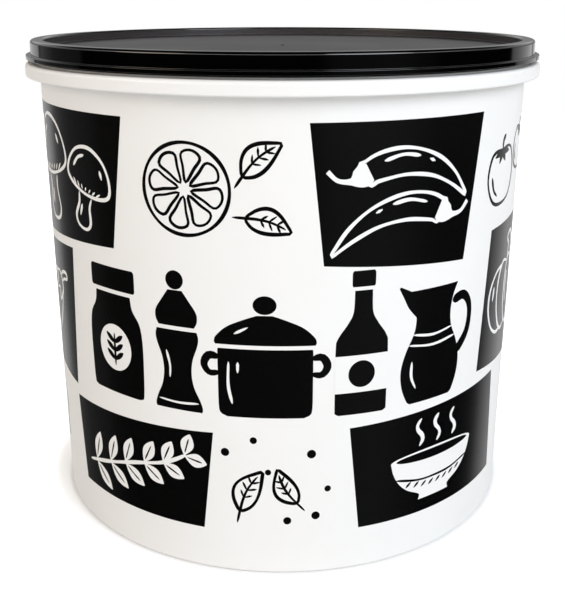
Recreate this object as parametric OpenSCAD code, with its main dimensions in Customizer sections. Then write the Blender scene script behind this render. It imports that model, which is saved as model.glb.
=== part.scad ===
// Round canister for dry food, with a press-on lid.
// The body is one moulding: a drafted wall on a foot ring, a turned-down rim and a neck.
// The lid is the other: a sunk panel inside a channel that grips both sides of the neck.
// Every shape is a section turned about Z. The origin is the middle of the foot, on the table.

/* [Body] */
// Outside diameter of the wall, just under the rim
body_d = 227.2; // [160:0.2:300]
// Height of the rim's upper face above the table
body_h = 207.4; // [100:0.2:300]
// Thickness of the wall
wall = 2; // [1.6:0.1:2.6]
// Thickness of the floor
floor_t = 2.4; // [1.8:0.1:4]
// Inside radius where the wall meets the floor
well_r = 6; // [2:0.5:16]

/* [Foot] */
// Height of the floor's underside above the table
foot_h = 2.2; // [1:0.1:4]
// Width of the ring that the body stands on
foot_w = 2.8; // [2:0.1:6]
// Radius round the outside of the ring
heel_r = 1.2; // [0.5:0.1:1.6]
// Diameter of the moulding gate's dimple under the floor
gate_d = 18; // [8:1:30]
// Depth of the gate's dimple
gate_h = 0.8; // [0.4:0.1:1.2]

/* [Rim] */
// How far the rim stands out from the wall
rim_w = 6.4; // [4.5:0.1:9]
// Height of the rim's outer face
rim_h = 6; // [4:0.1:9]
// Thickness of the rim's shelf and of its turned-down lip
rim_t = 1.9; // [1.4:0.1:2.4]
// Radius along the rim's outer edges
rim_r = 1.7; // [0.6:0.1:2.2]

/* [Neck] */
// Height of the neck above the rim
neck_h = 8.3; // [8:0.1:14]
// Thickness of the neck
neck_t = 2.1; // [1.6:0.1:2.6]
// Width of the ledge inside, between the wall and the neck
ledge_w = 1.7; // [1:0.1:2.4]
// Distance from the neck's top to the middle of its snap bead
snap_drop = 2.6; // [2:0.1:3.4]

/* [Lid] */
// Thickness of the lid's panel, channel and plug
lid_t = 1.4; // [1:0.1:1.8]
// Thickness of the skirt below the flange
skirt_t = 1.1; // [0.8:0.1:1.3]
// Depth of the panel below the crown
recess_h = 4.2; // [2.5:0.1:4.6]
// How far the gripping flange stands out from the lid's side
flange_w = 2.1; // [1:0.1:4]
// Thickness of the gripping flange
flange_t = 1.8; // [0.8:0.1:2]
// Height of the skirt below the flange
skirt_h = 0.8; // [0.6:0.1:2]
// Radius along the crown's outer edge
crown_r = 1.3; // [0.6:0.1:2.4]
// Radius along the crown's inner edge
brink_r = 1; // [0.4:0.1:2]
// Diameter of the moulding gate's pip on the panel
pip_d = 2; // [2:0.5:6]
// Height of the gate's pip
pip_h = 0.3; // [0.2:0.1:0.6]

/* [Fits] */
// Gap between the neck's top and the roof of the lid's channel
seat_gap = 0.3; // [0.1:0.05:0.6]
// Gap between the rim and the lower edge of the lid, where the neck shows
show_gap = 0.8; // [0.6:0.1:2.5]
// Height of the plug's end above the ledge
plug_gap = 1.8; // [1:0.1:2.6]
// How far the beads stand proud of the neck, the skirt and the plug
bead = 0.25; // [0.15:0.05:0.4]
// Gap between a bead and what it passes
bead_gap = 0.1; // [0.05:0.05:0.3]
// Half the height of a bead
bead_rise = 0.9; // [0.6:0.1:1.1]
// Gap round a foot that stands in the lid of the canister below
stack_gap = 1.9; // [0.8:0.1:3]

/* [Hidden] */

// Small radii that every moulded edge and inside corner has
edge_r = 0.5;
corner_r = 0.6;
// Lean of the foot ring's inner side, for each millimetre of its height
foot_lean = 0.35;
// Largest turn of an arc from one of its points to the next, in degrees
arc_step = 15;
// Facets of a full turn, where the model is drawn as a mesh
turn_fn = 180;

// The neck stands on the rim, set out from the wall by the ledge
body_in_r = body_d / 2 - wall;
neck_in_r = body_in_r + ledge_w;
neck_r = neck_in_r + neck_t;
neck_top = body_h + neck_h;
snap_z = neck_top - snap_drop;

// The channel leaves room on both sides of the neck for the beads to pass
plug_r = neck_in_r - bead - bead_gap;
recess_r = plug_r - lid_t;
skirt_in_r = neck_r + 2 * bead + bead_gap;
lid_r = skirt_in_r + lid_t;
skirt_r = skirt_in_r + skirt_t;
flange_r = lid_r + flange_w;
roof_z = neck_top + seat_gap;
crown_z = roof_z + lid_t;
panel_z = crown_z - recess_h;
plug_z = body_h + plug_gap;
skirt_z = body_h + show_gap;
flange_z = skirt_z + skirt_h;

// The wall is drafted so that the foot stands inside the recess of the lid below
foot_r = recess_r - stack_gap;
lip_z = body_h - rim_h;
shelf_z = body_h - rim_t;
rim_out_r = body_d / 2 + rim_w;
draft = (body_d / 2 - foot_r) / lip_z;
function wall_r(z) = foot_r + draft * z;
floor_z = foot_h + floor_t;
ledge_z = body_h - ledge_w;

// A section is a list of corners [r, z, radius], taken in order round the solid.
// Each corner becomes an arc that touches both of its sides, and that takes less than
// half of the shorter side, so that an arc is limited by the wall that carries it.
function arc_points(a, b, c, r) =
    let (
        to_a = [a.x, a.y] - [b.x, b.y],
        to_c = [c.x, c.y] - [b.x, b.y],
        u = to_a / norm(to_a),
        v = to_c / norm(to_c),
        half = acos(max(-1, min(1, u * v))) / 2,
        reach = min(r / tan(half), 0.48 * min(norm(to_a), norm(to_c))),
        radius = reach * tan(half),
        mid = [b.x, b.y] + (u + v) / norm(u + v) * radius / sin(half),
        from = [b.x, b.y] + u * reach - mid,
        to = [b.x, b.y] + v * reach - mid,
        turn = 180 - 2 * half,
        way = sign(from.x * to.y - from.y * to.x),
        start = atan2(from.y, from.x),
        steps = ceil(turn / arc_step)
    )
    [for (i = [0:steps]) mid + radius * [cos(start + way * turn * i / steps),
                                         sin(start + way * turn * i / steps)]];

function section(corners) =
    let (n = len(corners))
    [for (i = [0:n - 1]) each
        corners[i][2] == 0
            ? [[corners[i].x, corners[i].y]]
            : arc_points(corners[(i + n - 1) % n], corners[i], corners[(i + 1) % n], corners[i][2])];

// A low rounded bead on an upright face at radius r: side is 1 on an outer face and -1 on an
// inner one, and way is 1 where the section climbs along that face and -1 where it drops
function bead_corners(r, z, side, way) = [
    [r, z - way * bead_rise, bead],
    [r + side * bead, z, bead_rise],
    [r, z + way * bead_rise, bead]
];

module turned(corners) {
    rotate_extrude($fn = turn_fn) polygon(section(corners));
}

function container_corners() = concat(
    [
        // Underside: gate dimple, floor and foot ring
        [0, foot_h + gate_h, 0],
        [gate_d / 2 - gate_h, foot_h + gate_h, edge_r],
        [gate_d / 2, foot_h, edge_r],
        [foot_r - foot_w - foot_lean * foot_h, foot_h, corner_r],
        [foot_r - foot_w, 0, edge_r],
        [foot_r, 0, heel_r],
        // Wall, then the hollow under the rim, its lip and its shelf
        [wall_r(shelf_z), shelf_z, corner_r],
        [rim_out_r - rim_t, shelf_z, corner_r],
        [rim_out_r - rim_t, lip_z, edge_r],
        [rim_out_r, lip_z, rim_r],
        [rim_out_r, body_h, rim_r],
        [neck_r, body_h, corner_r]
    ],
    bead_corners(neck_r, snap_z, 1, 1),
    [
        // Neck, ledge and the inside
        [neck_r, neck_top, edge_r],
        [neck_in_r, neck_top, edge_r],
        [neck_in_r, body_h, corner_r],
        [wall_r(ledge_z) - wall, ledge_z, corner_r],
        [wall_r(floor_z) - wall, floor_z, well_r],
        [0, floor_z, 0]
    ]
);

function lid_corners() = concat(
    [
        // Underside: panel, plug with its sealing bead, channel
        [0, panel_z - lid_t, 0],
        [recess_r, panel_z - lid_t, corner_r],
        [recess_r, plug_z, edge_r],
        [plug_r - edge_r, plug_z, edge_r]
    ],
    bead_corners(plug_r, plug_z + edge_r + 2 * bead_rise, 1, 1),
    [
        [plug_r, roof_z, edge_r],
        [skirt_in_r, roof_z, edge_r]
    ],
    bead_corners(skirt_in_r, skirt_z + edge_r + bead_rise, -1, -1),
    [
        // Skirt, gripping flange, side and crown
        [skirt_in_r, skirt_z, edge_r / 2],
        [skirt_r, skirt_z, edge_r],
        [skirt_r, flange_z, edge_r / 2],
        [flange_r, flange_z, edge_r / 2],
        [flange_r, flange_z + flange_t, edge_r / 2],
        [lid_r, flange_z + flange_t, edge_r / 2],
        [lid_r, crown_z, crown_r],
        [recess_r, crown_z, brink_r],
        [recess_r, panel_z, corner_r],
        // Gate pip in the middle of the panel
        [pip_d / 2, panel_z, 0],
        [pip_d / 2 - pip_h, panel_z + pip_h, 0],
        [0, panel_z + pip_h, 0]
    ]
);

module container() {
    color("white") turned(container_corners());
}

module lid() {
    color([0.07, 0.07, 0.075]) turned(lid_corners());
}

container();
lid();
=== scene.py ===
"""A round kitchen canister with a press-on lid, dressed round its packed construction.

Sizes are in metres, in the construction's own frame: the origin is the middle of the foot, on the
table, +Z is up and -Y faces the camera. The print is laid out in millimetres on the unrolled wall.
"""

import math

import bpy
import numpy as np
from bpy.props import FloatProperty, FloatVectorProperty, IntProperty, PointerProperty
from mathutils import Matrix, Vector


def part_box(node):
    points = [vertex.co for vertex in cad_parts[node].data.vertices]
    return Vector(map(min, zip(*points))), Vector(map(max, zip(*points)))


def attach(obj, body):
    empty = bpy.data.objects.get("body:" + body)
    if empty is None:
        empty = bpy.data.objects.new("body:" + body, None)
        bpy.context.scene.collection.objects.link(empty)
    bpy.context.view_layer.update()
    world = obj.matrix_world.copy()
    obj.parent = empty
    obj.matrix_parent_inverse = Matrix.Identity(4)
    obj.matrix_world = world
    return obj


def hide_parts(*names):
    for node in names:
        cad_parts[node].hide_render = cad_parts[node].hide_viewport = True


bl_info = {
    "name": "Kitchen canister",
    "version": (1, 0, 0),
    "blender": (4, 5, 0),
    "location": "3D View > Sidebar > Canister",
    "description": "Moulded canister with a printed wall and a press-on lid, on a studio floor",
    "category": "Add Mesh",
}

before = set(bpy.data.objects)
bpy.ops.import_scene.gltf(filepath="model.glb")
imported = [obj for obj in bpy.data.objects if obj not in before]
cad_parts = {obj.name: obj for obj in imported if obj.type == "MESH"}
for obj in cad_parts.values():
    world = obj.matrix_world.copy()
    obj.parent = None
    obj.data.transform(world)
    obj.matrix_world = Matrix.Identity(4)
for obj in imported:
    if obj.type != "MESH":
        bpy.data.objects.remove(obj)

MM = 0.001
CONTAINER_LOW, CONTAINER_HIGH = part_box("container")
LID_LOW, LID_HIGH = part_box("lid")

# Small radii of both mouldings: at their edges, in their inside corners and round the gate's pip
EDGE_R, CORNER_R, PIP_EDGE_R = 0.5 * MM, 0.6 * MM, 0.1 * MM
# Lean of the foot ring's inner side, for each millimetre of its height
FOOT_LEAN = 0.35
# The most of a straight side that the arc at one of its ends may take
ARC_SHARE = 0.48


def linear(code):
    """The linear colour of an sRGB hex code."""
    parts = [int(code[i:i + 2], 16) / 255 for i in (1, 3, 5)]
    return tuple(c / 12.92 if c <= 0.04045 else ((c + 0.055) / 1.055) ** 2.4 for c in parts)


def length(name, description, millimetres):
    """A size that a user may change."""
    return FloatProperty(name=name, description=description, default=millimetres * MM, unit="LENGTH",
                         precision=4)


def colour(name, description, code):
    """A colour that a user may change."""
    return FloatVectorProperty(name=name, description=description, default=linear(code), size=3,
                               subtype="COLOR", min=0, max=1)


# ---------------------------------------------------------------- sizes and colours


class ContainerSizes(bpy.types.PropertyGroup):
    wall: length("Wall", "Thickness of the wall", 2)
    floor_t: length("Floor", "Thickness of the floor", 2.4)
    well_r: length("Well radius", "Inside radius where the wall meets the floor", 6)
    foot_h: length("Foot height", "Height of the floor's underside above the table", 2.2)
    foot_w: length("Foot width", "Width of the ring that the body stands on", 2.8)
    foot_r: length("Foot radius", "Outer radius of that ring", 109.65)
    heel_r: length("Heel radius", "Radius round the outside of the ring", 1.2)
    gate_d: length("Gate diameter", "Diameter of the moulding gate's dimple", 18)
    gate_h: length("Gate depth", "Depth of the gate's dimple", 0.8)
    rim_w: length("Rim width", "How far the rim stands out from the wall", 6.4)
    rim_h: length("Rim height", "Height of the rim's outer face", 6)
    rim_t: length("Rim thickness", "Thickness of the rim's shelf and of its lip", 1.9)
    rim_r: length("Rim radius", "Radius along the rim's outer edges", 1.7)
    neck_h: length("Neck height", "Height of the neck above the rim", 8.3)
    neck_t: length("Neck thickness", "Thickness of the neck", 2.1)
    ledge_w: length("Ledge width", "Width of the ledge between the wall and the neck", 1.7)
    snap_drop: length("Snap drop", "From the neck's top to the middle of its bead", 2.6)


class LidSizes(bpy.types.PropertyGroup):
    lid_t: length("Thickness", "Thickness of the panel, the channel and the plug", 1.4)
    skirt_t: length("Skirt", "Thickness of the skirt below the flange", 1.1)
    recess_h: length("Recess", "Depth of the panel below the crown", 4.2)
    flange_w: length("Flange width", "How far the flange stands out from the side", 2.1)
    flange_t: length("Flange thickness", "Thickness of the gripping flange", 1.8)
    skirt_h: length("Skirt height", "Height of the skirt below the flange", 0.8)
    crown_r: length("Crown radius", "Radius along the crown's outer edge", 1.3)
    brink_r: length("Brink radius", "Radius along the crown's inner edge", 1)
    pip_d: length("Pip diameter", "Diameter of the moulding gate's pip", 2)
    pip_h: length("Pip height", "Height of the gate's pip", 0.3)
    plug_gap: length("Plug gap", "Height of the plug's end above the rim's level", 1.8)
    bead: length("Bead", "How far the beads stand proud", 0.25)
    bead_gap: length("Bead gap", "Gap between a bead and what it passes", 0.1)
    bead_rise: length("Bead rise", "Half the height of a bead", 0.9)


class PrintSizes(bpy.types.PropertyGroup):
    low: length("Lowest ink", "Height of the print's lower edge", 19)
    high: length("Highest ink", "Height of the print's upper edge", 191.3)
    layout_r: length("Layout radius", "Radius at which the artwork has its true width", 112)
    ink_t: length("Ink", "Thickness of one layer of ink", 0.03)
    sunk: length("Bite", "How far the ink keys into the wall", 0.02)
    pen: length("Pen", "Half the width of a drawn line", 0.72)
    repeats: IntProperty(name="Repeats", description="Copies of the artwork round the wall",
                         default=2, min=1)


class Colours(bpy.types.PropertyGroup):
    white: colour("White", "Polypropylene of the container", "#F3F3F2")
    white_deep: colour("White, shaded", "Where the pigment lies a little thicker", "#EFEEEB")
    black: colour("Black", "Polyethylene of the lid", "#020202")
    # The panel's colours are lighter and warmer than the lid's own black: a painted dull sheen that
    # stands in for part of the light the grain spreads; the clouds between the two shades are random
    panel: colour("Black, matt", "The same with a fine grain, on the lid's panel", "#2D2829")
    panel_deep: colour("Black, matt, shaded", "Where that grain is worn smoother", "#252122")
    ink: colour("Ink", "Black screen ink", "#080808")


class StageSettings(bpy.types.PropertyGroup):
    camera_y: length("Camera distance", "From the canister's axis to the camera", 457.1)
    camera_z: length("Camera height", "Height of the camera above the table", 238.9)
    pitch: FloatProperty(name="Pitch", description="How far the camera looks down",
                         default=math.radians(14.16), subtype="ANGLE")
    image_px: FloatProperty(name="Image height", description="Pixels of the image's longer side",
                            default=600)
    focal_px: FloatProperty(name="Focal length", description="In the same pixels", default=935.5)
    centre_px: FloatProperty(name="Optical centre", description="Pixels from the image's top",
                             default=226.1)
    floor_r: length("Floor radius", "Radius of the studio floor", 1500)
    # Width of the painted shadow ring round the foot, over which the floor's glow to the eye rises
    shadow_ring_w: length("Glow", "From the foot to where the floor is all white", 30)
    ambient: FloatProperty(name="Ambient", description="Light from all round", default=0.57)
    key_w: FloatProperty(name="Key lamp", description="Power of the lamp at the right", default=23.5,
                         unit="POWER")
    fill_w: FloatProperty(name="Fill lamp", description="Power of the lamp at the left", default=8,
                          unit="POWER")


# ---------------------------------------------------------------- surfaces


def rounded(corners, step=math.radians(11), longest=12 * MM):
    """The outline through corners (x, y, radius), with its directions and whose corner each point is.

    A corner becomes the arc that touches both of its sides and takes less than half of the shorter
    one: its points are the centre plus the radius times the side of a direction that turns evenly
    from one side's to the other's. A straight side gets points at most longest apart.
    """
    spots = np.array([c[:2] for c in corners], float)
    sides = np.diff(spots, axis=0)
    sizes = np.linalg.norm(sides, axis=1)
    ways = sides / sizes[:, None]
    points, turns, owners = [spots[:1]], [ways[:1]], [np.zeros(1, int)]
    for k in range(1, len(spots)):
        if k == len(spots) - 1:
            arc, way = spots[k:], ways[-1:]
        else:
            arc, way = corner_arc(spots[k], ways[k - 1], ways[k], corners[k][2],
                                  ARC_SHARE * min(sizes[k - 1], sizes[k]), step)
        gap = np.linalg.norm(arc[0] - points[-1][-1])
        inner = np.linspace(points[-1][-1], arc[0], max(2, math.ceil(gap / longest) + 1))[1:-1]
        points += [inner, arc]
        turns += [np.tile(ways[k - 1], (len(inner), 1)), way]
        owners += [np.full(len(inner) + len(arc), k)]
    return np.vstack(points), np.vstack(turns), np.concatenate(owners)


def corner_arc(corner, come, go, radius, limit, step):
    """Points and directions of the arc that turns from direction come to direction go."""
    turn = math.atan2(come[0] * go[1] - come[1] * go[0], float(come @ go))
    if radius <= 0 or abs(turn) < 1e-6:
        return corner[None], go[None]
    reach = min(radius * math.tan(abs(turn) / 2), limit)
    radius = math.copysign(reach / math.tan(abs(turn) / 2), turn)
    angle = np.linspace(0, turn, 1 + math.ceil(abs(turn) / step))[:, None]
    way = come * np.cos(angle) + np.array([-come[1], come[0]]) * np.sin(angle)
    middle = corner - come * reach + np.array([-come[1], come[0]]) * radius
    return middle + radius * np.column_stack([way[:, 1], -way[:, 0]]), way


def lathe(name, corners, count=360):
    """A closed turned solid: the outline point (r, z) goes round to (r sin a, -r cos a, z).

    The outline runs from the axis, out round the solid and back to the axis, with the solid on its
    left, so a point's outward direction is its way turned a quarter to the right. The two points on
    the axis are single, and each carries a fan of triangles.
    Returns the object and, for each face, the corner that its outer end belongs to.
    """
    outline, ways, owners = rounded(corners)
    rows = len(outline) - 2
    angle = np.linspace(0, 2 * np.pi, count, endpoint=False)
    around = np.stack([np.sin(angle), -np.cos(angle)], axis=-1)

    def swept(r, z):
        flat = np.broadcast_to(z[:, None, None], (len(z), count, 1))
        return np.concatenate([r[:, None, None] * around, flat], axis=-1).reshape(-1, 3)

    ends = np.array([(0, 0, outline[0, 1]), (0, 0, outline[-1, 1])])
    points = np.vstack([swept(*outline[1:-1].T), ends])
    normals = np.vstack([swept(ways[1:-1, 1], -ways[1:-1, 0]), (0, 0, -1), (0, 0, 1)])
    here = np.arange(count)
    onward = (here + 1) % count
    row = np.arange(rows - 1)[:, None] * count
    quads = np.stack([row + here, row + onward, row + count + onward, row + count + here], axis=-1)
    last = (rows - 1) * count
    under = np.stack([np.full(count, rows * count), onward, here], axis=-1)
    over = np.stack([last + here, last + onward, np.full(count, rows * count + 1)], axis=-1)
    faces = [*quads.reshape(-1, 4).tolist(), *under.tolist(), *over.tolist()]
    mesh = bpy.data.meshes.new(name)
    mesh.from_pydata(points.tolist(), [], faces)
    mesh.shade_smooth()
    mesh.normals_split_custom_set_from_vertices(normals.tolist())
    part = bpy.data.objects.new(name, mesh)
    bpy.context.scene.collection.objects.link(part)
    corner = np.concatenate([np.repeat(owners[2:-1], count), np.full(count, owners[0]),
                             np.full(count, owners[-1])])
    return part, corner


def dress(part, body, slot, *materials):
    """Gives a finished piece its materials and its body; its slot is not used."""
    for material in materials:
        part.data.materials.append(material)
    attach(part, body)
    return part


# ---------------------------------------------------------------- the two mouldings


def bead_corners(r, z, side, way, sizes):
    """A low rounded bead on an upright face at radius r, as in the construction."""
    rise, out = sizes.bead_rise, sizes.bead
    return [(r, z - way * rise, out), (r + side * out, z, rise), (r, z + way * rise, out)]


def neck_radii(body):
    """Inner and outer radius of the neck, from the rim's outer radius."""
    inner = CONTAINER_HIGH.x - body.rim_w - body.wall + body.ledge_w
    return inner, inner + body.neck_t


def wall_radius(z, body):
    """The drafted wall's outer radius at a height: a straight line from the foot to the lip."""
    lip_z = CONTAINER_HIGH.z - body.neck_h - body.rim_h
    top_r = CONTAINER_HIGH.x - body.rim_w
    return body.foot_r + (top_r - body.foot_r) * z / lip_z


def container_corners(body, lid):
    """The container's section, from the middle of its underside round to the middle of its floor."""
    neck_in, neck_out = neck_radii(body)
    rim_out, neck_top = CONTAINER_HIGH.x, CONTAINER_HIGH.z
    rim_top = neck_top - body.neck_h
    lip_z, shelf_z = rim_top - body.rim_h, rim_top - body.rim_t
    ledge_z, floor_z = rim_top - body.ledge_w, body.foot_h + body.floor_t
    ring_in = body.foot_r - body.foot_w
    return [
        (0, body.foot_h + body.gate_h, 0),
        (body.gate_d / 2 - body.gate_h, body.foot_h + body.gate_h, EDGE_R),
        (body.gate_d / 2, body.foot_h, EDGE_R),
        (ring_in - FOOT_LEAN * body.foot_h, body.foot_h, CORNER_R),
        (ring_in, 0, EDGE_R),
        (body.foot_r, 0, body.heel_r),
        (wall_radius(shelf_z, body), shelf_z, CORNER_R),
        (rim_out - body.rim_t, shelf_z, CORNER_R),
        (rim_out - body.rim_t, lip_z, EDGE_R),
        (rim_out, lip_z, body.rim_r),
        (rim_out, rim_top, body.rim_r),
        (neck_out, rim_top, CORNER_R),
        *bead_corners(neck_out, neck_top - body.snap_drop, 1, 1, lid),
        (neck_out, neck_top, EDGE_R),
        (neck_in, neck_top, EDGE_R),
        (neck_in, rim_top, CORNER_R),
        (wall_radius(ledge_z, body) - body.wall, ledge_z, CORNER_R),
        (wall_radius(floor_z, body) - body.wall, floor_z, body.well_r),
        (0, floor_z, 0),
    ]


def lid_corners(body, lid):
    """The lid's section in two runs: round the channel to the recess, and across the panel."""
    neck_in, neck_out = neck_radii(body)
    rim_top = CONTAINER_HIGH.z - body.neck_h
    plug_r = neck_in - lid.bead - lid.bead_gap
    recess_r = plug_r - lid.lid_t
    skirt_in = neck_out + 2 * lid.bead + lid.bead_gap
    flange_r = LID_HIGH.x
    side_r = flange_r - lid.flange_w
    crown_z, skirt_z = LID_HIGH.z, LID_LOW.z
    roof_z, panel_z = crown_z - lid.lid_t, crown_z - lid.recess_h
    plug_z, flange_z = rim_top + lid.plug_gap, skirt_z + lid.skirt_h
    channel = [
        (0, panel_z - lid.lid_t, 0),
        (recess_r, panel_z - lid.lid_t, CORNER_R),
        (recess_r, plug_z, EDGE_R),
        (plug_r - EDGE_R, plug_z, EDGE_R),
        *bead_corners(plug_r, plug_z + EDGE_R + 2 * lid.bead_rise, 1, 1, lid),
        (plug_r, roof_z, EDGE_R),
        (skirt_in, roof_z, EDGE_R),
        *bead_corners(skirt_in, skirt_z + EDGE_R + lid.bead_rise, -1, -1, lid),
        (skirt_in, skirt_z, EDGE_R / 2),
        (skirt_in + lid.skirt_t, skirt_z, EDGE_R),
        (skirt_in + lid.skirt_t, flange_z, EDGE_R / 2),
        (flange_r, flange_z, EDGE_R / 2),
        (flange_r, flange_z + lid.flange_t, EDGE_R / 2),
        (side_r, flange_z + lid.flange_t, EDGE_R / 2),
        (side_r, crown_z, lid.crown_r),
        (recess_r, crown_z, lid.brink_r),
    ]
    panel = [
        (recess_r, panel_z, CORNER_R),
        (lid.pip_d / 2, panel_z, PIP_EDGE_R),
        (lid.pip_d / 2 - lid.pip_h, panel_z + lid.pip_h, PIP_EDGE_R),
        (0, panel_z + lid.pip_h, 0),
    ]
    return channel, panel


# ---------------------------------------------------------------- the print

# Height of the artwork, each ink's layer counted from the wall, and the corners of the blocks, the
# black four-sided fields that white lines are drawn on
ARTWORK_H = 170.0
INKS = {"black": 1, "white": 2, "detail": 3}
BLOCKS = (
    ((-166, ARTWORK_H), (-172, 110), (-74, 116), (-66, ARTWORK_H)),
    ((10, ARTWORK_H), (16, 115), (82, 110), (90, ARTWORK_H)),
    ((-172, 106), (-164, 50), (-112, 45), (-106, 110)),
    ((104, 118), (99, 55), (172, 50), (176, 122)),
    ((-112, 40), (-108, 0), (-34, 0), (-29, 44)),
    ((28, 46), (33, 0), (122, 0), (117, 50)),
)


def smooth(points, closed=False, spacing=1.2, steps=16):
    """Evenly spaced points of the curve through the given ones, in all their columns.

    From b to c, with a before them and d after, the curve is half of
    2b + (c - a)t + (2a - 5b + 4c - d)t^2 + (3b - a - 3c + d)t^3, with t from 0 to 1 in steps.
    """
    p = np.asarray(points, float)
    ends = (p[-1:], p[:2]) if closed else (2 * p[:1] - p[1:2], 2 * p[-1:] - p[-2:-1])
    p = np.vstack([ends[0], p, ends[1]])
    a, b, c, d = (p[i:len(p) - 3 + i, None] for i in range(4))
    t = np.linspace(0, 1, steps, endpoint=False)[:, None]
    line = (2 * b + (c - a) * t + (2 * a - 5 * b + 4 * c - d) * t**2
            + (3 * b - a - 3 * c + d) * t**3) / 2
    line = np.vstack([line.reshape(-1, p.shape[1]), p[-2]])
    along = np.insert(np.cumsum(np.linalg.norm(np.diff(line[:, :2], axis=0), axis=1)), 0, 0)
    even = np.linspace(0, along[-1], max(3, round(along[-1] / spacing) + 1))
    return np.column_stack([np.interp(even, along, column) for column in line.T])


def spot(u, v, turn=0.0, size=1.0, flip=1):
    """A function that puts a motif's points at (u, v), turned, scaled and perhaps mirrored."""
    c, s = math.cos(math.radians(turn)), math.sin(math.radians(turn))

    def to(points):
        p = np.array(points, float)
        p[:, :2] = (p[:, :2] * (size * flip, size)) @ [[c, s], [-s, c]] + (u, v)
        p[:, 2:] *= size
        return p
    return to


def across(way):
    """The directions a quarter turn to the left of the given ones."""
    return np.column_stack([-way[:, 1], way[:, 0]]) / np.linalg.norm(way, axis=1)[:, None]


class Artwork:
    """The print on the unrolled wall: u to the right of the front, v up from its lower edge.

    A shape is a grid of points that turns counterclockwise, with cells of at most the given size, so
    that it follows the round wall. White lines lie on the black blocks and black details on the
    white shapes, so each ink keeps its own layer.
    """

    # Share by which a line's width swings, and about how often
    swing, swing_every = 0.14, 25
    # Length of a line's ends, the most of a short line that they take, and what is left at the tip
    tip, tip_share, tip_left = 3.0, 0.3, 0.06
    # Rows of a filled oval, and how near to its poles they go
    oval_rows, oval_reach = 17, 0.97

    def __init__(self, blocks, pen, cell=3.0):
        self.blocks, self.pen, self.cell = np.array(blocks, float), pen, cell
        self.grids = {ink: [] for ink in INKS}
        for corners in self.blocks:
            self.block(*corners)

    def block(self, a, b, c, d):
        """A block with four corners: each point is their mean, weighted by s down and t across.

        The wall is straight up and down, so the cells may be four times as high as they are wide.
        """
        wide, high = np.ptp([a, b, c, d], axis=0)
        s = np.linspace(0, 1, 2 + int(high / self.cell / 4))[:, None, None]
        t = np.linspace(0, 1, 2 + int(wide / self.cell))[None, :, None]
        self.grids["black"].append((a * (1 - s) + b * s) * (1 - t) + (d * (1 - s) + c * s) * t)

    def on_block(self, p):
        """Which of the points lie inside a block, that is, to the left of all its four sides."""
        found = np.zeros(len(p), bool)
        for corners in self.blocks:
            side = np.roll(corners, -1, axis=0) - corners
            to = p[:, None] - corners
            found |= (side[:, 0] * to[..., 1] >= side[:, 1] * to[..., 0]).all(axis=1)
        return found

    def solid(self, path, ink, way=None):
        """A filled shape: from each point (u, v, half-width) it reaches that far to both sides."""
        path = np.asarray(path, float)
        if way is None:
            way = np.gradient(path[:, :2], axis=0)
            if np.allclose(path[0, :2], path[-1, :2]):
                way[[0, -1]] = way[0] + way[-1]
        else:
            way = np.tile(way, (len(path), 1))
        reach = np.linspace(-1, 1, 2 + int(2 * path[:, 2].max() / self.cell))
        self.grids[ink].append(path[:, None, :2]
                               + across(way)[:, None] * (path[:, 2:] * reach)[..., None])

    def line(self, points, closed=False, pen=None, ink=None):
        """A pen line, white on the blocks and black beside them.

        Its width swings as a sine of the way gone, and each end is the quarter of an oval, as long
        as a tip or as a tip's share of a short line.
        """
        p = smooth(points, closed)[:, :2]
        gone = np.linspace(0, 1, len(p))
        long = np.linalg.norm(np.diff(p, axis=0), axis=1).sum()
        waves = 2 * np.pi * max(1, round(long / self.swing_every))
        width = (pen or self.pen) * (1 + self.swing * np.sin(waves * gone + p[0, 0]))
        if not closed:
            end = min(self.tip, self.tip_share * long)
            left = np.clip(np.minimum(gone, 1 - gone) * long / end, 0, 1)
            width = width * np.sqrt(np.clip(1 - (1 - left) ** 2, self.tip_left, 1))
        path = np.column_stack([p, width])
        if ink:
            self.solid(path, ink)
            return
        inside = self.on_block(p)
        cuts = np.flatnonzero(np.diff(inside)) + 1
        for first, last in zip([0, *cuts], [*cuts, len(p)]):
            run = path[max(0, first - 1):last + 1]
            if len(run) > 2:
                self.solid(run, "white" if inside[first] else "black")

    def upright(self, to, rows, ink="black"):
        """A filled shape with like sides, from the half-widths and heights that they go through."""
        rows = np.array([(0, v, half) for half, v in rows], float)
        path = to(smooth(rows, spacing=0.8))
        self.solid(path, ink, way=path[-1, :2] - path[0, :2])

    def round(self, to, u, v, half_wide, half_high, ink="black"):
        """A filled oval: its half-width is half_wide cos t where it is half_high sin t from (u, v)."""
        t = np.linspace(-self.oval_reach, self.oval_reach, self.oval_rows) * np.pi / 2
        path = to(np.column_stack([np.full(len(t), u), v + half_high * np.sin(t),
                                   half_wide * np.cos(t)]))
        self.solid(path, ink, way=path[-1, :2] - path[0, :2])


def oval(half_wide, half_high, count=12):
    """Points round an oval, at even angles t: (half_wide cos t, half_high sin t)."""
    t = np.linspace(0, 2 * np.pi, count, endpoint=False)
    return np.column_stack([half_wide * np.cos(t), half_high * np.sin(t)])


def mushroom(art, to):
    """A cap with its highlight, the gills under it and a stout stem."""
    art.line(to([(-23, 1), (-21, 11), (-13, 20), (0, 24), (13, 20), (21, 11), (23, 1), (15, -4),
                 (0, -6), (-15, -4)]), closed=True)
    art.line(to([(-7, -7), (-6, -14), (-8.5, -23), (-6, -28), (0, -29.5), (6, -28), (8.5, -23),
                 (6, -14), (7, -7)]))
    art.line(to([(-16, 7), (-11.5, 14), (-5, 18)]))
    art.line(to([(15, 9), (12, 14)]))
    art.line(to([(-2.5, -14), (-3.5, -22)]))
    for u in range(-15, 16, 5):
        art.line(to([(u, -1.6 + abs(u) * 0.06), (u * 0.72, -4.2)]), pen=0.45)


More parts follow.
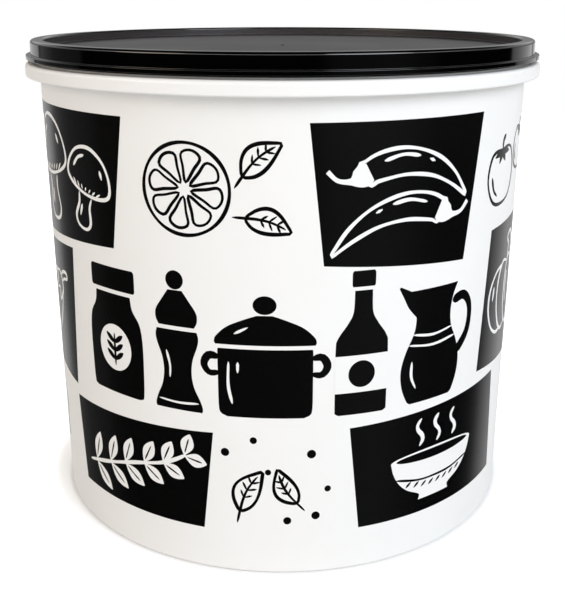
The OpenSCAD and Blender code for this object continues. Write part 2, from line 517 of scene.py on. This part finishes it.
def aubergine(art, to):
    """A pear-shaped fruit under its toothed cap, with a crooked stalk."""
    art.line(to([(-9, 17), (-16, 5), (-21, -12), (-18, -29), (-7, -38), (7, -38), (18, -29),
                 (21, -12), (16, 5), (9, 17)]))
    art.line(to([(-9, 17), (-13, 9), (-6.5, 12.5), (-2, 4), (2.5, 12), (9, 6), (9, 17), (6, 22),
                 (0, 24), (-6, 22)]), closed=True)
    art.line(to([(-2, 24), (-1, 31), (3, 37), (7, 36), (4, 30), (3, 24)]))
    art.line(to([(-14, -8), (-14.5, -19), (-10, -29)]))
    art.line(to([(-8, -4), (-9, -9)]))


def citrus(art, to, radius=18):
    """A cut fruit: its peel, and eight segments between a core and the pith."""
    art.line(to(oval(radius, radius, 16)), closed=True)
    angles = np.radians((0, -15, -17, -6, 6, 17, 15))
    reach = radius * np.array((0.16, 0.5, 0.76, 0.85, 0.85, 0.76, 0.5))
    for middle in np.radians(np.arange(22.5, 360, 45)):
        art.line(to(np.column_stack([reach * np.cos(middle + angles),
                                     reach * np.sin(middle + angles)])), closed=True, pen=0.6)


def leaf(art, to, long=26, half=7, bow=2.2):
    """A leaf with three pairs of veins.

    Its rib bows up as the sine of the way gone, and its half-width is nearly such a sine too, with
    its widest place moved towards the stalk.
    """
    gone = np.linspace(0, 1, 9)
    rib = np.column_stack([long * gone, bow * np.sin(np.pi * gone)])
    edge = np.column_stack([np.zeros(len(gone)), half * np.sin(np.pi * gone**0.8) ** 0.9])
    art.line(to(np.vstack([rib + edge, (rib - edge)[-2:0:-1]])), closed=True)
    art.line(to([(-0.28 * long, -2), *rib[:8:2], rib[7]]), pen=0.55)
    for way in (0.3, 0.48, 0.66):
        root = np.array((long * way, bow * math.sin(math.pi * way)))
        rise = 0.62 * half * math.sin(math.pi * way)
        for side in (-1, 1):
            art.line(to([root, root + (3.4, side * rise)]), pen=0.45)


def chilli(art, to):
    """A curved pod with a filled cap and stalk, and a long highlight."""
    spine = smooth([(-25, 4.2, 5), (-15, 6.8, 6.3), (-2, 6.5, 6.2), (12, 1.5, 4.9), (23, -7, 3.1),
                    (32, -18, 0.4)])
    side = across(np.gradient(spine[:, :2], axis=0)) * spine[:, 2:]
    art.line(to(np.vstack([(spine[:, :2] + side)[::3], (spine[:, :2] - side)[::-3]])), closed=True)
    art.solid(smooth(to([(-41, 9, 1.1), (-37, 4.2, 1.0), (-31, 2.6, 1.6), (-28, 3.2, 4.2),
                         (-24, 4.5, 5.6), (-21.5, 5.4, 4.4)])), "white")
    art.line(to([(-14, 9), (-4, 10), (5, 7.6)]))
    art.line(to([(10, 5), (13, 3.2)]))


def tomato(art, to, r=13.0):
    """A round fruit with four pointed sepals and a short stalk."""
    half = np.array([(0.25, 0.92), (0.8, 0.75), (1.06, 0), (0.72, -0.75)]) * r
    art.line(to([*(half * (-1, 1)), (0, -0.95 * r), *half[::-1]]))
    top = np.array((0, 0.86 * r))
    for angle in np.radians((200, 245, 292, 340)):
        tip = np.array((math.cos(angle), 0.75 * math.sin(angle))) * 0.62 * r
        art.solid(smooth(to([(*top, 0.6), (*(top + 0.45 * tip), 0.13 * r), (*(top + tip), 0.25)])),
                  "black")
    art.line(to([(0, 0.86 * r), (0.05 * r, 1.15 * r), (0.25 * r, 1.32 * r)]), pen=1.0)
    art.line(to([(-0.78 * r, 0.1 * r), (-0.66 * r, -0.35 * r), (-0.4 * r, -0.62 * r)]))


def pumpkin(art, to):
    """Five ribs, the outer ones behind the middle one, with a stalk and a tendril."""
    art.line(to(oval(8, 17)), closed=True)
    for side in (-1, 1):
        art.line(to([(side * 5, 15.5), (side * 12, 17), (side * 18, 11), (side * 20, 0),
                     (side * 17, -11), (side * 11, -16.5), (side * 5, -15.5)]))
        art.line(to([(side * 13.5, 16.2), (side * 22, 14.5), (side * 28.5, 8), (side * 30, -1),
                     (side * 26.5, -10), (side * 20, -15), (side * 13, -15.6)]))
        art.line(to([(side * 24, 8.5), (side * 25.5, 2)]))
    art.line(to([(-4, 16), (-2.5, 22), (-5.5, 27), (1, 28.5), (3.5, 23), (5, 16.5)]))
    art.line(to([(6, 21), (10, 24.5), (14, 25), (18, 22.5), (20, 24.5), (18.5, 28.5), (22, 31)]))
    art.line(to([(-3.5, 10), (-4.5, 2), (-3.5, -6)]))


def sprig(art, to):
    """Six pairs of filled leaves along a bowed stem, each with a dark rib."""
    stem = smooth(to([(-36, -9), (-18, -5), (2, 0), (20, 4), (35, 11)]))
    art.line(stem[::6], pen=0.8, ink="white")
    for k, place in enumerate(np.linspace(0.1, 0.93, 6) * (len(stem) - 1)):
        i = min(int(place), len(stem) - 2)
        heading = math.atan2(*(stem[i + 1] - stem[i - 1])[::-1])
        for side in (-1, 1):
            angle = heading + side * math.radians(58 - 3 * k)
            along = np.array((math.cos(angle), math.sin(angle))) * (15.6 - k)
            gone = np.array((0.06, 0.3, 0.55, 0.8, 1.0))[:, None]
            halves = np.array((0.3, 2.2, 3.1, 2.1, 0.25))
            art.solid(smooth(np.column_stack([stem[i] + gone * along, halves])), "white")
            art.line(stem[i] + np.array([[0.16], [0.5], [0.8]]) * along, pen=0.35, ink="detail")


def bowl(art, to):
    """A filled bowl on its foot with a hatched band, and steam over its dark mouth."""
    art.upright(to, [(9.2, 0), (8.6, 2.2), (10, 3.4), (15.5, 6), (20, 10), (23, 15), (24.4, 20)],
                "white")
    art.round(to, 0, 20, 24.5, 3.4, "white")
    art.round(to, 0, 20.4, 21.8, 2.1, "detail")
    art.line(to([(-21.5, 12), (-10, 9.6), (0, 9.2), (10, 9.6), (21.5, 12)]), pen=0.5, ink="detail")
    for u in np.linspace(-15, 15, 8):
        art.line(to([(u - 1.4, 5.6 + 0.008 * u * u), (u + 1.4, 7.8 + 0.008 * u * u)]), pen=0.55,
                 ink="detail")
    for u in (-10, 0, 10):
        art.line(to([(u, 25.5), (u + 1.7, 28), (u + 1.1, 30.5), (u - 1.1, 33), (u - 1.4, 35.5),
                     (u + 0.6, 38)]), pen=0.9)


def radish(art, to):
    """A round root that runs out to a tail, with two leaves."""
    art.line(to([(-2, 11), (-9, 8), (-11.5, 0), (-7, -9), (0, -14), (3, -24), (4, -14.5), (9, -8),
                 (11.5, 0), (9, 8), (2, 11)]))
    art.line(to([(-2, 11), (-6, 20), (-12, 27), (-6, 31), (-1, 25), (0, 11)]))
    art.line(to([(0, 12), (3, 22), (9, 30), (13, 25), (9, 17), (2, 11)]))
    art.line(to([(-7, 3), (-6.5, -3), (-3.5, -7)]))


def jar(art, to):
    """A storage jar with a flat lid, and a sprig on its round label."""
    art.upright(to, [(12.4, 0), (14.4, 1.2), (15, 12), (15, 24), (13.8, 31), (10.6, 36), (9.7, 41)])
    art.upright(to, [(11.6, 42.6), (12.2, 43.4), (12.2, 50.6), (11.4, 51.6)])
    art.round(to, 0, 19, 9, 9.5, "white")
    art.line(to([(0, 11.5), (0, 25)]), pen=0.6, ink="detail")
    for v in (14, 17.5, 21):
        for side in (-1, 1):
            art.line(to([(0, v), (side * 4.6, v + 3.6)]), pen=1.0, ink="detail")


def mill(art, to):
    """A turned pepper mill: waisted body, domed head and knob."""
    art.upright(to, [(10, 0), (10.3, 1.6), (9.2, 5), (6.9, 10), (6, 15.5), (6.6, 21), (8.6, 26.6),
                     (9.2, 29.8), (8.6, 32.4)])
    art.upright(to, [(7.6, 34), (8.8, 36.4), (8.6, 40), (5.4, 44.8), (3, 48.2)])
    art.round(to, 0, 52.2, 3.7, 3.7)
    art.line(to([(-8.6, 3.6), (0, 3), (8.6, 3.6)]), pen=0.45, ink="white")
    art.line(to([(-3.4, 13), (-3.2, 18), (-4.6, 24)]), pen=0.5, ink="white")


def pot(art, to):
    """A stock pot with a domed lid, a knob and two ears."""
    art.upright(to, [(14, 0), (16.4, 1.2), (17.1, 4), (17.2, 14), (17.2, 25), (16.9, 26)])
    art.upright(to, [(18, 27.5), (18.4, 28.6), (17.6, 30.6), (13.6, 34.2), (7.4, 37), (2.8, 38.6)])
    art.round(to, 0, 42.4, 4.2, 3.4)
    for side in (-1, 1):
        art.line(to([(side * 16.5, 22.5), (side * 20.4, 23), (side * 22.4, 19.6),
                     (side * 20.4, 16.4), (side * 16.5, 16.8)]), pen=1.5, ink="black")
    art.line(to([(-13.2, 21), (-13.4, 12), (-12, 5)]), pen=0.6, ink="white")
    art.line(to([(-9.8, 21), (-9.9, 17)]), pen=0.6, ink="white")
    art.line(to([(-11, 31.6), (-6, 34.2)]), pen=0.5, ink="white")


def bottle(art, to):
    """An oil bottle with a stopper, and a spot on its broad label."""
    art.upright(to, [(9.2, 0), (10.4, 0.8), (10.6, 3), (10.6, 26), (9.8, 31), (6, 36.6), (3.9, 41),
                     (3.5, 49.4)])
    art.upright(to, [(4.3, 50.8), (4.6, 51.6), (4.6, 56.2), (4.1, 57)])
    art.solid(to([(0, 9, 10.8), (0, 16, 10.8), (0, 24, 10.8)]), "white", way=(0, 1))
    art.round(to, 0, 16.4, 5.4, 5.4, "detail")


def jug(art, to):
    """A bellied jug with a handle, a lip and two rings."""
    art.upright(to, [(10, 0), (11.4, 1), (14, 7), (14.7, 14), (12.8, 21), (9.4, 28), (8.6, 34),
                     (9.8, 40), (12, 44.6)])
    art.line(to([(9.5, 37.5), (16, 38.5), (20.2, 33), (19.4, 23.5), (13, 16)]), pen=1.9, ink="black")
    art.solid(smooth(to([(-4, 34.4, 3.4), (-9.6, 40, 3.2), (-13, 43.4, 1.9), (-16.4, 46.6, 0.4)])),
              "black")
    art.line(to([(-9.8, 17), (-9.8, 11), (-7.6, 6)]), pen=0.6, ink="white")
    art.line(to([(-9.6, 27.5), (0, 26.2), (9.6, 27.5)]), pen=0.5, ink="white")
    art.line(to([(-11.4, 23.6), (0, 22.2), (11.4, 23.6)]), pen=0.5, ink="white")


def drawn_artwork(pen):
    """The whole print: outlined food, and a row of bold kitchen shapes in the middle."""
    art = Artwork(BLOCKS, pen)
    mushroom(art, spot(-126, 145, 6, 0.86))
    mushroom(art, spot(-90, 140, -14, 0.66))
    citrus(art, spot(-38, 144, 10))
    leaf(art, spot(-15, 150, 40, 0.74))
    leaf(art, spot(-14, 134, -18, 0.7))
    chilli(art, spot(52, 149, 8, 0.84))
    chilli(art, spot(47, 131, -6, 0.84, flip=-1))
    tomato(art, spot(111, 141, 6), 13)
    tomato(art, spot(136, 150, -10), 10)
    aubergine(art, spot(-138, 82, -52, 0.66))
    pumpkin(art, spot(136, 84, 4, 0.98))
    sprig(art, spot(-70, 22, 3, 0.92))
    bowl(art, spot(72, 6))
    radish(art, spot(-146, 26, 20, 0.8))
    leaf(art, spot(-18, 10, 62, 0.78))
    leaf(art, spot(6, 14, 118, 0.66))
    for u, v, r in ((-24, 36, 1.8), (-12, 42, 1.5), (12, 36, 1.9), (2, 6, 1.7), (19, 20, 1.4),
                    (14, 8, 1.8), (-6, 28, 1.3)):
        art.round(spot(u, v), 0, 0, r, r)
    jar(art, spot(-77, 52, size=1.08))
    mill(art, spot(-44, 52, size=1.06))
    pot(art, spot(-7, 52, size=1.12))
    bottle(art, spot(32.5, 52, size=1.06))
    jug(art, spot(66.5, 52, size=1.1))
    return art


def film(name, shapes, sizes, body):
    """A closed sheet of ink for each shape, given as its grid and its layer, on the drafted wall.

    A point (u, v) goes to the angle u over the layout radius, and to the height that v has between
    the print's edges. Its radius there is the wall's: for the sheet's face as many ink thicknesses
    more as its layer counts, and for its back a bite less. A strip joins the two round the shape.
    """
    climb = (sizes.high - sizes.low) / ARTWORK_H
    lean = wall_radius(1, body) - wall_radius(0, body)
    points, normals, faces, start = [], [], [], 0
    for turn in np.arange(sizes.repeats) * 2 * np.pi / sizes.repeats:
        for grid, layer in shapes:
            n, m = grid.shape[:2]
            angle = grid[..., 0].ravel() * MM / sizes.layout_r + turn
            z = sizes.low + grid[..., 1].ravel() * climb
            out = np.column_stack([np.sin(angle), -np.cos(angle), np.full(n * m, -lean)])
            for radius in (wall_radius(z, body) + layer * sizes.ink_t,
                           wall_radius(z, body) - sizes.sunk):
                points.append(np.column_stack([out[:, 0] * radius, out[:, 1] * radius, z]))
            normals += [out, -out]
            face = start + np.arange(n * m).reshape(n, m)
            edge = np.concatenate([face[:-1, 0], face[-1, :-1], face[:0:-1, -1], face[0, :0:-1]])
            ahead = np.roll(edge, -1)
            quads = np.stack([face[:-1, :-1], face[1:, :-1], face[1:, 1:], face[:-1, 1:]],
                             axis=-1).reshape(-1, 4)
            faces += [quads, quads[:, ::-1] + n * m,
                      np.column_stack([edge + n * m, ahead + n * m, ahead, edge])]
            start += 2 * n * m
    mesh = bpy.data.meshes.new(name)
    mesh.from_pydata(np.vstack(points).tolist(), [], np.vstack(faces).tolist())
    mesh.shade_smooth()
    mesh.normals_split_custom_set_from_vertices(np.vstack(normals).tolist())
    part = bpy.data.objects.new(name, mesh)
    bpy.context.scene.collection.objects.link(part)
    return part


# ---------------------------------------------------------------- materials


def add_node(tree, kind, settings=None, inputs=None):
    """Adds a node, gives it its settings, and sets or links its inputs by name or by number."""
    node = tree.nodes.new(kind)
    for name, value in (settings or {}).items():
        setattr(node, name, value)
    for name, value in (inputs or {}).items():
        if isinstance(value, bpy.types.NodeSocket):
            tree.links.new(value, node.inputs[name])
        else:
            node.inputs[name].default_value = value
    return node


def new_material(name):
    """An empty node material with its output, and the object's own coordinates."""
    material = bpy.data.materials.new(name)
    material.use_nodes = True
    tree = material.node_tree
    tree.nodes.clear()
    out = add_node(tree, "ShaderNodeOutputMaterial")
    place = add_node(tree, "ShaderNodeTexCoord").outputs["Object"]
    return material, tree, out, place


def moulded(name, light, deep, roughness, grain, relief, ior, drift=45 * MM):
    """Moulded plastic: its colour drifts between two shades, and a fine grain roughens the light.

    grain is the size of the mould's texture and relief its height; drift is the size of the clouds
    in which the colour and the gloss change. A real grain is a tenth of that size, too fine to show.
    """
    material, tree, out, place = new_material(name)
    clouds = add_node(tree, "ShaderNodeTexNoise", inputs={
        "Vector": place, "Scale": 1 / drift, "Detail": 2.0, "Roughness": 0.5})
    tint = add_node(tree, "ShaderNodeMix", {"data_type": "RGBA"},
                    {"Factor": clouds.outputs["Fac"], "A": (*light, 1), "B": (*deep, 1)})
    gloss = add_node(tree, "ShaderNodeMapRange", inputs={
        "Value": clouds.outputs["Fac"], "To Min": roughness[0], "To Max": roughness[1]})
    fine = add_node(tree, "ShaderNodeTexNoise", inputs={
        "Vector": place, "Scale": 1 / grain, "Detail": 1.0})
    bump = add_node(tree, "ShaderNodeBump", inputs={
        "Height": fine.outputs["Fac"], "Strength": 1.0, "Distance": relief})
    shader = add_node(tree, "ShaderNodeBsdfPrincipled", inputs={
        "Base Color": tint.outputs["Result"], "Roughness": gloss.outputs["Result"], "IOR": ior,
        "Normal": bump.outputs["Normal"]})
    tree.links.new(shader.outputs["BSDF"], out.inputs["Surface"])
    return material


def container_white(colours, name="polypropylene_white_moulded"):
    """Injection-moulded white polypropylene: opaque, with a satin that softens its reflections."""
    return moulded(name, colours.white, colours.white_deep, (0.36, 0.44),
                   grain=0.9 * MM, relief=0.004 * MM, ior=1.49)


def lid_polished(colours):
    """Black polyethylene from a polished mould: a nearly sharp reflection on the side and crown."""
    return moulded("polyethylene_black_polished", colours.black, colours.black, (0.04, 0.08),
                   grain=1.4 * MM, relief=0.001 * MM, ior=1.5)


def lid_matt(colours):
    """Black polyethylene from a spark-eroded mould: the fine pits spread the light to a dull grey.
    Its base colour, lighter and warmer than the lid's black, is part of that dull sheen painted on.
    """
    return moulded("polyethylene_black_eroded", colours.panel, colours.panel_deep, (0.42, 0.5),
                   grain=0.7 * MM, relief=0.01 * MM, ior=1.5)


def ink_black(colours):
    """Black gloss screen ink, levelled before it set: a deep black, shinier than the satin wall."""
    return moulded("screen_ink_black", colours.ink, colours.ink, (0.2, 0.26),
                   grain=0.8 * MM, relief=0.003 * MM, ior=1.5)


def ink_white(colours):
    """White screen ink in the wall's own white and gloss, so that it reads as bare wall."""
    return container_white(colours, "screen_ink_white")


# ---------------------------------------------------------------- operators


def settings(context):
    """The sizes, colours and stage settings that the sidebar shows."""
    return context.scene.canister


class CANISTER_OT_container(bpy.types.Operator):
    """Turn the container's section into its white moulding"""

    bl_idname = "canister.container"
    bl_label = "Container"

    def execute(self, context):
        own = settings(context)
        part, _ = lathe("container_moulding", container_corners(own.container, own.lid))
        dress(part, "container", "container_white", container_white(own.colours))
        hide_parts("container")
        return {"FINISHED"}


class CANISTER_OT_lid(bpy.types.Operator):
    """Turn the lid's section into its black moulding, polished outside and matt in the recess"""

    bl_idname = "canister.lid"
    bl_label = "Lid"

    def execute(self, context):
        own = settings(context)
        channel, panel = lid_corners(own.container, own.lid)
        part, corner = lathe("lid_moulding", channel + panel)
        dress(part, "lid", "lid_black", lid_polished(own.colours), lid_matt(own.colours))
        part.data.polygons.foreach_set("material_index",
                                       (corner >= len(channel)).astype(np.int32))
        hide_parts("lid")
        return {"FINISHED"}


class CANISTER_OT_artwork(bpy.types.Operator):
    """Print the black ink and the white ink on the container's wall"""

    bl_idname = "canister.artwork"
    bl_label = "Print"

    def execute(self, context):
        own = settings(context)
        art = drawn_artwork(own.artwork.pen / MM)
        inks = (("print_black", ("black", "detail"), ink_black),
                ("print_white", ("white",), ink_white))
        for name, layers, ink in inks:
            shapes = [(grid, INKS[layer]) for layer in layers for grid in art.grids[layer]]
            part = film(name, shapes, own.artwork, own.container)
            dress(part, "container", "container_white", ink(own.colours))
        return {"FINISHED"}


class CANISTER_OT_stage(bpy.types.Operator):
    """Make the floor, the lamps, the world and the camera"""

    bl_idname = "canister.stage"
    bl_label = "Stage"

    def execute(self, context):
        own = settings(context)
        make_floor(own.stage, own.container.foot_r)
        make_lamps(own.stage)
        make_world(own.stage)
        make_camera(own.stage)
        context.scene.view_settings.view_transform = "Standard"
        return {"FINISHED"}


# The floor's own light to the eye, from the foot outwards: a painted shadow ring, dark where the
# canister meets it, white at the end of its reach. Each stop of a ramp is a place and a level.
FLOOR_GLOW_SHADOW_RING = ((0, 0), (0.03, 0.05), (0.08, 0.2), (0.2, 0.27), (0.4, 0.58), (0.6, 0.9), (1, 1))

# What polished pieces reflect from below the horizon, a table with bright screens beside it: by the
# direction in degrees from the camera's, with the right positive
TABLE = (
    (-180, 0.7), (-138, 0.7), (-136.5, 0.15), (-134.5, 0.1), (-133, 0.2), (-118, 0.08), (-97, 0.07),
    (-95, 0.002), (14, 0.002), (22, 0.06), (50, 0.08), (66, 0.03), (72, 0.002), (118, 0.002),
    (120, 0.4), (132, 0.68), (147, 0.95), (149, 0.2), (152, 0.6), (157, 0.9), (180, 0.9),
)
# What they reflect from above it, by the height of the direction's end on a ball of radius 1: soft
# light behind the canister, and one long bright lamp in front of it
BEHIND = ((0, 0.18), (0.08, 0.33), (0.2, 0.85), (0.35, 0.7), (0.5, 0.1), (0.7, 0.01))
BEFORE = ((0.32, 0), (0.35, 8), (0.42, 8), (0.45, 0.01))
# The front gives way to the back between these two places along Y on that ball, and the table to
# the room within this much of the horizon
FRONT_END, BACK_START, HORIZON = -0.35, 0.2, 0.02
# Grey of the floor's paint
FLOOR_WHITE = 0.9

# Name, place in metres, width in metres, setting that holds its power, and colour
LAMPS = (
    ("key_lamp", (1.1, -1.35, 1.15), 1.3, "key_w", "#F1F7FF"),
    ("fill_lamp", (-1.5, -0.9, 0.9), 1.1, "fill_w", "#FFE8CC"),
)


def make_floor(own, foot_r, sides=96):
    """A round white floor that shows from above only: its edge is (r sin a, -r cos a, 0)."""
    angle = np.linspace(0, 2 * np.pi, sides, endpoint=False)
    points = np.column_stack([own.floor_r * np.sin(angle), -own.floor_r * np.cos(angle),
                              np.zeros(sides)])
    mesh = bpy.data.meshes.new("studio_floor")
    mesh.from_pydata(points.tolist(), [], [list(range(sides))])
    floor = bpy.data.objects.new("studio_floor", mesh)
    bpy.context.scene.collection.objects.link(floor)
    material, tree, out, place = new_material("studio_floor_white")
    rays = add_node(tree, "ShaderNodeLightPath").outputs
    facing = add_node(tree, "ShaderNodeNewGeometry").outputs["Backfacing"]
    paint = add_node(tree, "ShaderNodeBsdfDiffuse", inputs={"Color": (*[FLOOR_WHITE] * 3, 1)})
    reach = add_node(tree, "ShaderNodeVectorMath", {"operation": "LENGTH"}, {0: place})
    outward = add_node(tree, "ShaderNodeMapRange", inputs={
        "Value": reach.outputs["Value"], "From Min": foot_r, "From Max": foot_r + own.shadow_ring_w})
    # Painted shadow ring: the floor's glow to the eye is nothing at the foot and rises to full white
    # outward
    level = grey_ramp(tree, outward.outputs["Result"], FLOOR_GLOW_SHADOW_RING)
    lift = add_node(tree, "ShaderNodeMath", {"operation": "MULTIPLY"},
                    {0: rays["Is Camera Ray"], 1: level})
    glow = add_node(tree, "ShaderNodeEmission", inputs={"Strength": lift.outputs[0]})
    both = add_node(tree, "ShaderNodeAddShader", inputs={0: paint.outputs[0], 1: glow.outputs[0]})
    clear = add_node(tree, "ShaderNodeBsdfTransparent")
    side = add_node(tree, "ShaderNodeMixShader", inputs={0: facing, 1: both.outputs[0],
                                                         2: clear.outputs[0]})
    tree.links.new(side.outputs[0], out.inputs["Surface"])
    mesh.materials.append(material)
    floor.visible_glossy = False


def make_lamps(own):
    """Two soft lamps: a cool one high at the right front, and a weak warm one at the left."""
    for name, stand, size, power, code in LAMPS:
        light = bpy.data.lights.new(name, "AREA")
        light.shape = "DISK"
        light.size = size
        light.energy = getattr(own, power)
        light.color = linear(code)
        lamp = bpy.data.objects.new(name, light)
        lamp.location = stand
        aim = Vector((0, 0, CONTAINER_HIGH.z / 2)) - Vector(stand)
        lamp.rotation_euler = aim.to_track_quat("-Z", "Y").to_euler()
        bpy.context.scene.collection.objects.link(lamp)


def grey_ramp(tree, where, stops):
    """A ramp of greys: each stop is a place from 0 to 1 and a level."""
    node = add_node(tree, "ShaderNodeValToRGB", inputs={0: where})
    ramp = node.color_ramp.elements
    while len(ramp) < len(stops):
        ramp.new(1.0)
    for stop, (place, level) in zip(ramp, stops):
        stop.position = place
        stop.color = (level, level, level, 1)
    return node.outputs["Color"]


def make_world(own):
    """White to the eye, even light on every surface, and a table and a room in the reflections."""
    world = bpy.data.worlds.new("studio")
    world.use_nodes = True
    tree = world.node_tree
    tree.nodes.clear()
    way = add_node(tree, "ShaderNodeTexCoord").outputs["Generated"]
    rays = add_node(tree, "ShaderNodeLightPath").outputs
    parts = add_node(tree, "ShaderNodeSeparateXYZ", inputs={0: way}).outputs
    front = add_node(tree, "ShaderNodeMath", {"operation": "MULTIPLY"}, {0: parts["Y"], 1: -1.0})
    turn = add_node(tree, "ShaderNodeMath", {"operation": "ARCTAN2"},
                    {0: parts["X"], 1: front.outputs[0]})
    share = add_node(tree, "ShaderNodeMapRange", inputs={
        "Value": turn.outputs[0], "From Min": -math.pi, "From Max": math.pi})
    table = grey_ramp(tree, share.outputs["Result"],
                      [(angle / 360 + 0.5, level) for angle, level in TABLE])
    behind = grey_ramp(tree, parts["Z"], BEHIND)
    before = grey_ramp(tree, parts["Z"], BEFORE)
    far = add_node(tree, "ShaderNodeMapRange", inputs={
        "Value": parts["Y"], "From Min": FRONT_END, "From Max": BACK_START})
    room = add_node(tree, "ShaderNodeMix", {"data_type": "RGBA"},
                    {"Factor": far.outputs["Result"], "A": before, "B": behind})
    above = add_node(tree, "ShaderNodeMapRange", inputs={
        "Value": parts["Z"], "From Min": -HORIZON, "From Max": HORIZON})
    around = add_node(tree, "ShaderNodeMix", {"data_type": "RGBA"},
                      {"Factor": above.outputs["Result"], "A": table, "B": room.outputs["Result"]})
    seen = add_node(tree, "ShaderNodeMix", {"data_type": "RGBA"},
                    {"Factor": rays["Is Glossy Ray"], "A": (1, 1, 1, 1),
                     "B": around.outputs["Result"]})
    direct = add_node(tree, "ShaderNodeMath", {"operation": "MAXIMUM"},
                      {0: rays["Is Camera Ray"], 1: rays["Is Glossy Ray"]})
    any_seen = add_node(tree, "ShaderNodeMath", {"operation": "MAXIMUM"},
                        {0: direct.outputs[0], 1: rays["Is Transmission Ray"]})
    light = add_node(tree, "ShaderNodeMix", {"data_type": "RGBA"},
                     {"Factor": any_seen.outputs[0], "A": (*[own.ambient] * 3, 1),
                      "B": seen.outputs["Result"]})
    sky = add_node(tree, "ShaderNodeBackground", inputs={"Color": light.outputs["Result"]})
    out = add_node(tree, "ShaderNodeOutputWorld")
    tree.links.new(sky.outputs[0], out.inputs["Surface"])
    bpy.context.scene.world = world


def make_camera(own):
    """A camera in front of the canister, with its optical centre above the image's middle.

    The sensor's width spans the longer side of the image, which is its height.
    """
    data = bpy.data.cameras.new("camera")
    data.sensor_width = 36
    data.lens = own.focal_px / own.image_px * data.sensor_width
    data.shift_y = (own.centre_px - own.image_px / 2) / own.image_px
    data.clip_start = 10 * MM
    camera = bpy.data.objects.new("camera", data)
    camera.location = (0, -own.camera_y, own.camera_z)
    camera.rotation_euler = (math.pi / 2 - own.pitch, 0, 0)
    bpy.context.scene.collection.objects.link(camera)
    bpy.context.scene.camera = camera


class CanisterSettings(bpy.types.PropertyGroup):
    container: PointerProperty(type=ContainerSizes)
    lid: PointerProperty(type=LidSizes)
    artwork: PointerProperty(type=PrintSizes)
    colours: PointerProperty(type=Colours)
    stage: PointerProperty(type=StageSettings)


OPERATORS = (CANISTER_OT_stage, CANISTER_OT_container, CANISTER_OT_lid, CANISTER_OT_artwork)


class CANISTER_PT_panel(bpy.types.Panel):
    """Lists the canister's pieces"""

    bl_idname = "CANISTER_PT_panel"
    bl_label = "Canister"
    bl_space_type = "VIEW_3D"
    bl_region_type = "UI"
    bl_category = "Canister"

    def draw(self, context):
        for kind in OPERATORS:
            self.layout.operator(kind.bl_idname)


CLASSES = (ContainerSizes, LidSizes, PrintSizes, Colours, StageSettings, CanisterSettings, *OPERATORS,
           CANISTER_PT_panel)


def register():
    for kind in CLASSES:
        bpy.utils.register_class(kind)
    bpy.types.Scene.canister = PointerProperty(type=CanisterSettings)


def unregister():
    del bpy.types.Scene.canister
    for kind in reversed(CLASSES):
        bpy.utils.unregister_class(kind)


def main():
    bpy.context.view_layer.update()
    register()
    bpy.ops.canister.stage()
    bpy.ops.canister.container()
    bpy.ops.canister.lid()
    bpy.ops.canister.artwork()


if __name__ == "__main__":
    main()
